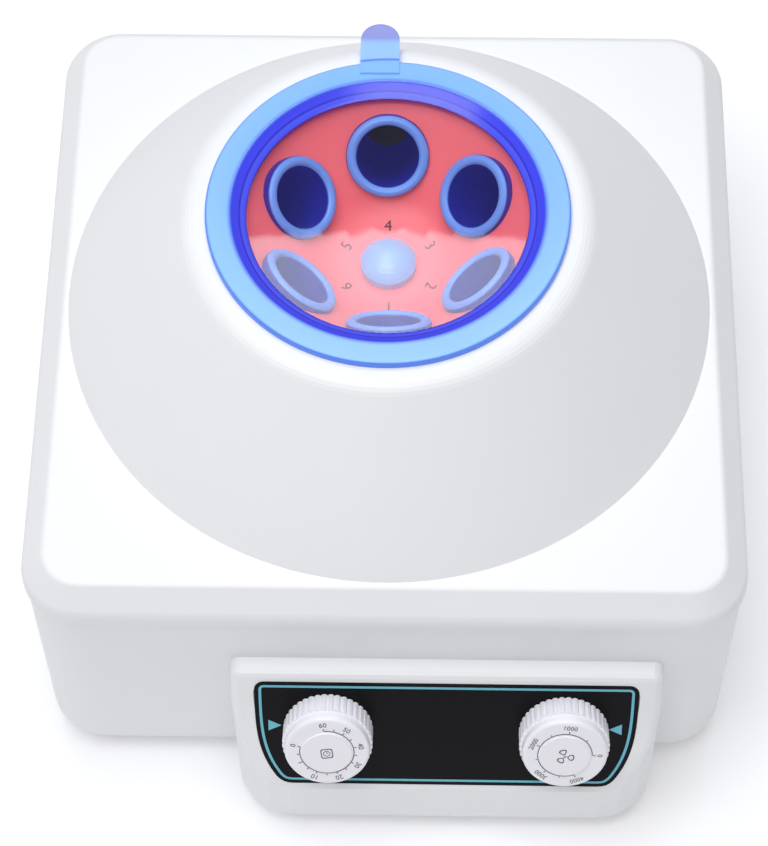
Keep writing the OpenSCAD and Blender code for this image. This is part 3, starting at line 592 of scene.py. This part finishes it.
# The dials: two white knobs with ribbed grips, pressed on steel shafts.
# Scales and icons are printed in dark grey on their faces, and turn with them.
moulded(
    "knob_white", rgb(250, 249, 255), rgb(246, 245, 253), 0.36, grain=700.0, depth=0.00001, coat=0.1
).paint("timer_knob", "speed_knob")
soften("timer_knob", "speed_knob")
dial_ink = moulded("dial_ink", rgb(70, 70, 82), rgb(60, 60, 72), 0.6, grain=600.0, depth=0.000005)
face_out = 0.0135
disc_out = 0.0143
scale_ring = 0.0099
scale_number_ring = 0.0126
tick_gap = 0.0003
line_width = 0.00032


def stroke(start, end, width=line_width):
    """A straight ink line as a loop of four points."""
    start, end = Vector(start), Vector(end)
    along = (end - start).normalized() * width / 2
    side = Vector((-along.y, along.x))
    return [start + side, start - side, end - side, end + side]


def spoke(degrees, inner, outer):
    """A stroke that points away from the dial's centre."""
    turn = math.radians(degrees)
    way = Vector((math.cos(turn), math.sin(turn)))
    return stroke(way * inner, way * outer)


def band(radius, start, end, count=64):
    """A curved ink line about the dial's centre."""
    outer = arc((0, 0), radius + line_width / 2, start, end, count)
    inner = arc((0, 0), radius - line_width / 2, end, start, count)
    return outer + inner


def marks(place, labels, ticks, start, end, size):
    """A dial's scale: an arc, its ticks outwards, and numbers with their tops outwards."""
    lines = [band(scale_ring, start, end)]
    lines += [spoke(angle, scale_ring + tick_gap, scale_ring + reach) for angle, reach in ticks]
    drawn = flat_mesh(lines, ink_thick)
    meshes = [moved(drawn, on_panel(place, dial_up, face_out + ink_thick / 2))]
    for angle, words in labels:
        meshes.append(moved(
            lettering(words, size, ink_thick),
            Matrix.Translation((0.0, scale_number_ring, 0.0)),
            Matrix.Rotation(math.radians(angle - 90), 4, "Z"),
            on_panel(place, dial_up, face_out + ink_thick / 2),
        ))
    return meshes


clock_corner, clock_soft = 0.0013, 0.0009
clock_line = 0.84
clock_face = (0.00132, 0.00108)
hand_width = 0.0002
long_hand = ((0, 0), (0, 0.00085))
short_hand = ((0.0001, 0), (0.0007, 0.0003))
blade_ring, blade_size = 0.0021, 0.0013
blade_flare, blade_line = 0.5, 0.70
hub = (0.0005, 0.0003)


def clock_icon():
    """A clock face with two hands, in a square with round corners."""
    outer = []
    for start, side, up in ((0, 1, 1), (90, -1, 1), (180, -1, -1), (270, 1, -1)):
        outer += arc((side * clock_corner, up * clock_corner), clock_soft, start, start + 90, 5)
    inner = [(x * clock_line, y * clock_line) for x, y in outer]
    rings = [disc(radius, count=32) for radius in clock_face]
    hands = [stroke(*hand, hand_width) for hand in (long_hand, short_hand)]
    return flat_mesh([outer, inner, *rings, *hands], ink_thick)


def blade(degrees, scale, count=24):
    """The outline of a fan blade, wider outwards, as a loop about its own middle."""
    turn = math.radians(degrees)
    way = Vector((math.cos(turn), math.sin(turn)))
    side = Vector((-way.y, way.x))
    loop = []
    for step in range(count):
        around = math.tau * step / count
        widening = 1 + blade_flare * math.sin(around)
        outwards = way * (blade_size * scale * math.sin(around))
        loop.append(
            way * blade_ring + side * (blade_size * scale * math.cos(around) * widening) + outwards
        )
    return loop


def fan_icon():
    """Three fan blades in outline round a small hub."""
    loops = [disc(radius, count=24) for radius in hub]
    loops += [blade(degrees, scale) for degrees in (90, 210, 330) for scale in (1.0, blade_line)]
    return flat_mesh(loops, ink_thick)


# The timer's scale: minutes from 0 to 60, with a number at every second tick.
# The first of those places after the 0 is bare, and has a long tick.
timer_words = {0: "0", 2: "10", 3: "20", 4: "30", 5: "40", 6: "50", 7: "60"}
bare_spot, last_spot = 1, 7
timer_step = 41.5
timer_start = 166.0
timer_end = timer_start + last_spot * timer_step
timer_number_size = 0.0029
clock_turn = math.radians(8)
timer_numbers = [(timer_start + timer_step * spot, words) for spot, words in timer_words.items()]
long_tick, short_tick = 0.0018, 0.0011
timer_ticks = [
    (timer_start + timer_step * half / 2, long_tick if half == 2 * bare_spot else short_tick)
    for half in range(2 * last_spot + 1)
]
timer_marks = marks(
    dial_places["timer"], timer_numbers, timer_ticks, timer_start, timer_end, timer_number_size
)
timer_marks.append(moved(
    clock_icon(), Matrix.Rotation(clock_turn, 4, "Z"),
    on_panel(dial_places["timer"], dial_up, disc_out + ink_thick / 2),
))
fuse("timer_scale", "timer_dial", dial_ink, timer_marks)


# The speed dial's scale: turns per minute from 0 to 4000, each number at its angle.
# A shorter tick stands between each two numbers.
speed_start, speed_end = 0, 292
speed_numbers = {speed_start: "0", 83: "1000", 156: "2000", 228: "3000", speed_end: "4000"}
between_numbers = (42, 120, 192, 260)
speed_number_size = 0.0027
number_tick, between_tick = 0.0013, 0.0009
fan_turn = math.radians(20)
speed_ticks = [(angle, number_tick) for angle in speed_numbers]
speed_ticks += [(angle, between_tick) for angle in between_numbers]
speed_marks = marks(
    dial_places["speed"], list(speed_numbers.items()), speed_ticks,
    speed_start, speed_end, speed_number_size,
)
speed_marks.append(moved(
    fan_icon(), Matrix.Rotation(fan_turn, 4, "Z"),
    on_panel(dial_places["speed"], dial_up, disc_out + ink_thick / 2),
))
fuse("speed_scale", "speed_dial", dial_ink, speed_marks)


# The back wall's fittings: mains inlet, fuse holder and rocker switch, snapped in
# or screwed in. Their plastic is black, the rocker's red.
moulded("fitting_black", rgb(32, 32, 34), rgb(26, 26, 28), 0.45).paint(
    "power_inlet", "fuse_holder", "switch_bezel", "cooling_fan"
)
moulded("rocker_red", rgb(196, 34, 30), rgb(180, 26, 24), 0.25, coat=0.3).paint("switch_rocker")


# The circuit board on the tub's floor, with its heat sink, capacitor and relay.
moulded("board_green", rgb(30, 104, 62), rgb(22, 88, 52), 0.4).paint("circuit_board")
moulded("part_black", rgb(48, 50, 56), rgb(38, 40, 46), 0.5).paint("board_parts")


# The studio: a pale floor, an even surround and two soft lights.
# One hangs above the front, the other is the card that the window mirrors in its front half.
floor_mesh = bpy.data.meshes.new("floor")
floor_half = 6.0
floor_mesh.from_pydata(
    [(-floor_half, -floor_half, 0), (floor_half, -floor_half, 0),
     (floor_half, floor_half, 0), (-floor_half, floor_half, 0)],
    [], [(0, 1, 2, 3)],
)
floor = bpy.data.objects.new("floor", floor_mesh)
bpy.context.scene.collection.objects.link(floor)
floor_finish = Finish("studio_floor")
floor_finish.set(
    Base_Color=floor_finish.mix(floor_finish.noise(3.0), rgb(251, 251, 253), rgb(253, 253, 255)),
    Roughness=0.9,
    Emission_Color=(1.0, 1.0, 1.0, 1.0),
    Emission_Strength=0.13,
)
floor_mesh.materials.append(floor_finish.material)

world = bpy.data.worlds.new("studio")
world.use_nodes = True
surround = world.node_tree.nodes["Background"].inputs
surround["Color"].default_value = (1.0, 0.985, 0.98, 1.0)
surround["Strength"].default_value = 0.27
bpy.context.scene.world = world


def soft_light(name, place, aim, size, power, tint):
    """A rectangular lamp at a place, turned to face another."""
    lamp = bpy.data.lights.new(name, "AREA")
    lamp.shape = "RECTANGLE"
    lamp.size, lamp.size_y = size
    lamp.energy = power
    lamp.color = tint
    holder = bpy.data.objects.new(name, lamp)
    holder.location = place
    holder.rotation_euler = (Vector(aim) - Vector(place)).to_track_quat("-Z", "Y").to_euler()
    bpy.context.scene.collection.objects.link(holder)


soft_light(
    "overhead", place=(-0.20, -0.30, 1.6), aim=(-0.02, 0.0, 0.1),
    size=(1.2, 1.2), power=17.5, tint=(0.98, 0.99, 1.0),
)
soft_light(
    "window_card", place=(0.0, 0.71, 1.6), aim=(0.0, 0.71, 0.0),
    size=(1.1, 0.40), power=6.2, tint=(0.88, 0.93, 1.0),
)


# The camera: in front of the centrifuge and high above it, looking steeply down.
camera_place = (0.01424, -0.56611, 1.00849)
camera_tilt = (30.198, 0.406, 0.992)
camera_data = bpy.data.cameras.new("camera")
camera_data.sensor_width = 36.0
camera_data.lens = 119.07
camera = bpy.data.objects.new("camera", camera_data)
camera.location = camera_place
camera.rotation_euler = [math.radians(angle) for angle in camera_tilt]
bpy.context.scene.collection.objects.link(camera)
bpy.context.scene.camera = camera
bpy.context.scene.view_settings.view_transform = "Standard"
